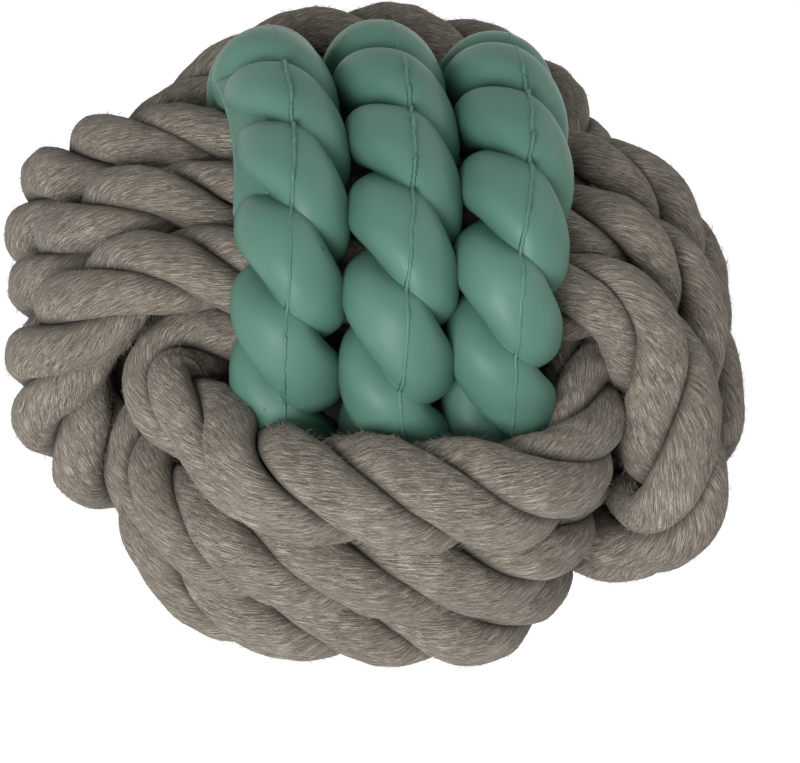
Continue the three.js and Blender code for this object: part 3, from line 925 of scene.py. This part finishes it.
class TOY_OT_rings(bpy.types.Operator):
    """Model the three twisted rubber rings"""

    bl_idname = "toy.rings"
    bl_label = "Rubber Rings"
    bl_options = {"REGISTER", "UNDO"}

    def execute(self, context):
        rings = context.scene.toy_rings
        plan = knot_plan(context.scene)
        material = rubber_material(context.scene.toy_colours)
        angles = lobe_angles()
        for index, node in enumerate(RING_NODES):
            points = ring_line(plan, rings, index)
            across, out, twist, gone = ring_frame(rings, points, rings.phases[index])
            turned = angles[None, :] + twist[:, None]
            radius = ring_radius(rings, angles[None, :], turned - rings.seams[index])[..., None]
            rows = points[:, None] + radius * (
                np.cos(turned)[..., None] * out[:, None] + np.sin(turned)[..., None] * across)
            ridge = flash_rows(rings, points, across, out, twist, gone, index)
            name = node.replace("rubber", "twisted")
            pieces = [
                skin(name, above_floor(rows), True),
                skin(name + "_flash", above_floor(ridge), True),
            ]
            if index == 0:
                pieces.append(skin(name + "_strip", strip_rows(rings, points), False))
            for piece in pieces:
                dress(piece, material, node)
        return {"FINISHED"}


def strand_rows(rope, route, start, seed):
    """Rows of one strand's wedge of the rope, with the map of its fibres and its creases."""
    swell = 1 + waver(seed, route.run, *SWELL_WAVE)
    wide = rope.squeezed_width + (rope.width - rope.squeezed_width) * route.plump
    wide = wide / 2 + rope.loft
    thick = rope.squeezed_thickness + (rope.thickness - rope.squeezed_thickness) * route.plump
    thick = thick / 2 + rope.loft
    half = math.pi / STRAND_COUNT
    part = np.linspace(-WEDGE, WEDGE, STRAND_POINTS)
    crease = rope.side_crease + (rope.front_crease - rope.side_crease) * route.turned
    lobe = 1 - crease[:, None] * np.abs(part)[None, :] ** rope.fullness
    twist = rope.side_twist + (rope.front_twist - rope.side_twist) * route.turned
    turn = start + 2 * half * twist + 2 * math.pi * route.run / rope.lay
    turn = turn + waver(seed + TURN_SEED, route.run, *TURN_WAVE)
    angle = turn[:, None] + half * part[None, :]
    square = 2 + (rope.squareness - 2) * route.plump[:, None]
    full = (np.abs(np.cos(angle)) ** square + np.abs(np.sin(angle)) ** square) ** (-1 / square)
    lump = lumps(seed + LUMP_SEED, route.run, part) * rope.lump
    sideways = ((wide * swell)[:, None] * full * lobe + lump) * np.cos(angle)
    inner = np.maximum(0, -np.sin(angle) * np.sign(route.press)[:, None])
    outwards = ((thick * swell)[:, None] * full * lobe + lump) * np.sin(angle)
    outwards -= route.press[:, None] * inner
    rows = route.points[:, None] + sideways[..., None] * route.across[:, None]
    rows = rows + outwards[..., None] * route.out[:, None]
    heart = route.points[:, None]
    run = np.broadcast_to(route.run[:, None], angle.shape)
    maps = np.stack([rope.width / 2 * angle, run], axis=2)
    # Depth of the creases, which the cotton material darkens as painted shade
    depth = np.broadcast_to(np.abs(part) ** rope.fullness, angle.shape)
    maps = np.concatenate([maps, maps[:, -1:]], axis=1)
    depth = np.concatenate([depth, np.ones((len(depth), 1))], axis=1)
    return np.concatenate([rows, heart], axis=1), maps, depth


class TOY_OT_rope(bpy.types.Operator):
    """Model the three strands of the grey rope"""

    bl_idname = "toy.rope"
    bl_label = "Grey Rope"
    bl_options = {"REGISTER", "UNDO"}

    def execute(self, context):
        rope = context.scene.toy_rope
        route = rope_route(context.scene, knot_plan(context.scene))
        material = cotton_material(context.scene.toy_colours, "grey_cotton", 0)
        for index in range(STRAND_COUNT):
            rows, maps, depth = strand_rows(rope, route, 2 * math.pi * index / STRAND_COUNT, index)
            strand = skin(f"rope_strand_{index + 1}", above_floor(rows), False, maps, depth)
            dress(strand, material, ROPE_NODE)
        return {"FINISHED"}


def fuzz_points(rope, route, rows, chance):
    """Points of one strand's loose fibres, thin spikes bent at their middles, and their roots."""
    step = chance.choice(len(route.run), FUZZ_COUNT, p=route.shown / route.shown.sum())
    side = chance.integers(FUZZ_MARGIN, STRAND_POINTS - FUZZ_MARGIN, FUZZ_COUNT)
    root = rows[step, side]
    normal = unit(root - route.points[step])
    along = route.along[step] * chance.choice((-1, 1), FUZZ_COUNT)[:, None]
    aside = np.cross(normal, along)
    long = rope.fuzz_length * chance.uniform(*FUZZ_LENGTHS, FUZZ_COUNT)[:, None]
    rise = normal * chance.uniform(*FUZZ_RISES, FUZZ_COUNT)[:, None]
    way = unit(along + rise + aside * chance.normal(0, FUZZ_ASIDE, FUZZ_COUNT)[:, None])
    bend = normal * chance.uniform(*FUZZ_BENDS, FUZZ_COUNT)[:, None]
    bend = bend + chance.normal(0, FUZZ_KINK, (FUZZ_COUNT, 3))
    middle = root + way * long / 2
    tip = middle + unit(way + bend) * long / 2
    turn = (2 * math.pi * np.arange(FUZZ_SIDES) / FUZZ_SIDES)[None, :, None]
    ring = np.cos(turn) * normal[:, None] + np.sin(turn) * aside[:, None]
    low = (root - normal * rope.fuzz_radius * FUZZ_DEPTH)[:, None] + ring * rope.fuzz_radius
    high = middle[:, None] + ring * rope.fuzz_radius * FUZZ_TAPER
    points = np.concatenate([low, high, tip[:, None]], axis=1)
    return above_floor(points), step, side


def fuzz_faces():
    """Faces of all the fibres on one strand."""
    first = np.arange(FUZZ_SIDES)
    after = np.roll(first, -1)
    tip = np.full(FUZZ_SIDES, 2 * FUZZ_SIDES)
    walls = np.stack([first, after, FUZZ_SIDES + after, FUZZ_SIDES + first], axis=1)
    points = np.stack([FUZZ_SIDES + first, FUZZ_SIDES + after, tip], axis=1)
    shape = [first[::-1].tolist()] + walls.tolist() + points.tolist()
    size = 2 * FUZZ_SIDES + 1
    starts = range(0, FUZZ_COUNT * size, size)
    return [[start + corner for corner in face] for start in starts for face in shape]


class TOY_OT_fuzz(bpy.types.Operator):
    """Model the loose fibres that stand off the rope"""

    bl_idname = "toy.fuzz"
    bl_label = "Rope Fuzz"
    bl_options = {"REGISTER", "UNDO"}

    def execute(self, context):
        rope = context.scene.toy_rope
        route = rope_route(context.scene, knot_plan(context.scene))
        material = cotton_material(context.scene.toy_colours, "cotton_fuzz", FUZZ_PAINTED_SHEEN)
        faces = fuzz_faces()
        for index in range(STRAND_COUNT):
            rows, maps, _ = strand_rows(rope, route, 2 * math.pi * index / STRAND_COUNT, index)
            chance = np.random.default_rng(FUZZ_SEED + index)
            points, step, side = fuzz_points(rope, route, rows, chance)
            spots = np.repeat(maps[step, side], points.shape[1], axis=0)
            fuzz = add_piece(f"rope_fuzz_{index + 1}", points, faces, spots)
            dress(fuzz, material, ROPE_NODE)
        return {"FINISHED"}


class TOY_OT_core(bpy.types.Operator):
    """Model the core that the knot is tied round"""

    bl_idname = "toy.core"
    bl_label = "Core"
    bl_options = {"REGISTER", "UNDO"}

    def execute(self, context):
        low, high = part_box(CORE_NODE)
        centre = (low + high) / 2
        radius = (high.z - low.z) / 2
        bpy.ops.object.select_all(action="DESELECT")
        bpy.ops.mesh.primitive_uv_sphere_add(
            segments=CORE_SEGMENTS, ring_count=CORE_RINGS, radius=radius, location=centre)
        core = context.object
        core.name = "knot_core"
        bpy.ops.object.transform_apply(location=True, rotation=True, scale=True)
        bpy.ops.object.mode_set(mode="EDIT")
        bpy.ops.mesh.select_all(action="DESELECT")
        bpy.ops.object.mode_set(mode="OBJECT")
        for edge in core.data.edges:
            ends = [core.data.vertices[i].co for i in edge.vertices]
            edge.select = all(abs(end.z - centre.z) < ON_SEAM for end in ends)
        bpy.ops.object.mode_set(mode="EDIT")
        bpy.ops.mesh.select_mode(type="EDGE")
        bpy.ops.mesh.bevel(offset=SEAM_WIDTH, segments=2, affect="EDGES")
        bpy.ops.mesh.select_mode(type="VERT")
        bpy.ops.mesh.select_all(action="DESELECT")
        bpy.ops.object.mode_set(mode="OBJECT")
        for vertex in core.data.vertices:
            vertex.select = abs(vertex.co.z - centre.z) < ON_SEAM
        bpy.ops.object.mode_set(mode="EDIT")
        bpy.ops.transform.resize(value=(SEAM_SHARE, SEAM_SHARE, 1), center_override=centre)
        bpy.ops.object.mode_set(mode="OBJECT")
        finish_mesh(core)
        dress(core, core_material(context.scene.toy_colours), CORE_NODE)
        return {"FINISHED"}


def soft_light(name, place, size, power):
    """Adds a square soft light at a place, which faces the toy."""
    bpy.ops.object.select_all(action="DESELECT")
    bpy.ops.object.light_add(type="AREA", location=place)
    lamp = bpy.context.object
    lamp.name = name
    lamp.data.shape = "SQUARE"
    lamp.data.size = size
    lamp.data.energy = power
    lamp.rotation_euler = (AIM - Vector(place)).to_track_quat("-Z", "Y").to_euler()


class TOY_OT_stage(bpy.types.Operator):
    """Set up the floor, the lights and the camera"""

    bl_idname = "toy.stage"
    bl_label = "Stage"
    bl_options = {"REGISTER", "UNDO"}

    def execute(self, context):
        scene = context.scene
        stage = scene.toy_stage
        scene.view_settings.view_transform = "Standard"
        bpy.ops.object.select_all(action="DESELECT")
        bpy.ops.mesh.primitive_plane_add(size=FLOOR_SIZE)
        floor = context.object
        floor.name = "pale_floor"
        floor.data.materials.append(floor_material(scene.toy_colours))
        soft_light("key_light", KEY_PLACE, KEY_SIZE, stage.key_power)
        soft_light("side_light", SIDE_PLACE, SIDE_SIZE, stage.fill_power)
        scene.world = bpy.data.worlds.new("soft_sky")
        nodes = Nodes(scene.world, "Background")
        nodes.surface({"Color": WHITE, "Strength": nodes.span(nodes.seen(), 0, 1, stage.sky, 1)})
        back = Vector((0, -math.cos(stage.elevation), math.sin(stage.elevation)))
        bpy.ops.object.camera_add(location=AIM + back * stage.distance)
        camera = context.object
        look = (-back).to_track_quat("-Z", "Y").to_matrix()
        camera.rotation_euler = (look @ Matrix.Rotation(stage.roll, 3, "Z")).to_euler()
        camera.data.lens = stage.lens
        camera.data.shift_x = stage.shift_x
        camera.data.shift_y = stage.shift_y
        scene.camera = camera
        return {"FINISHED"}


class TOY_PT_panel(bpy.types.Panel):
    """Lists the toy's pieces and sizes"""

    bl_idname = "TOY_PT_panel"
    bl_label = "Rope Dog Toy"
    bl_space_type = "VIEW_3D"
    bl_region_type = "UI"
    bl_category = "Rope Toy"

    def draw(self, context):
        for operator in OPERATORS:
            self.layout.operator(operator.bl_idname)
        for name, group in GROUPS:
            box = self.layout.box()
            box.label(text=group.__doc__)
            for key in group.__annotations__:
                box.prop(getattr(context.scene, name), key)


OPERATORS = (TOY_OT_rings, TOY_OT_rope, TOY_OT_fuzz, TOY_OT_core, TOY_OT_stage)


def register():
    """Registers the classes, and the groups of sizes on the scene."""
    for name, group in GROUPS:
        bpy.utils.register_class(group)
        setattr(bpy.types.Scene, name, bpy.props.PointerProperty(type=group))
    for operator in OPERATORS:
        bpy.utils.register_class(operator)
    bpy.utils.register_class(TOY_PT_panel)


def unregister():
    """Takes back what register adds."""
    bpy.utils.unregister_class(TOY_PT_panel)
    for operator in reversed(OPERATORS):
        bpy.utils.unregister_class(operator)
    for name, group in reversed(GROUPS):
        delattr(bpy.types.Scene, name)
        bpy.utils.unregister_class(group)


def main():
    """Models the toy and its stage."""
    register()
    bpy.ops.toy.rings()
    bpy.ops.toy.rope()
    bpy.ops.toy.fuzz()
    bpy.ops.toy.core()
    bpy.ops.toy.stage()


if __name__ == "__main__":
    main()
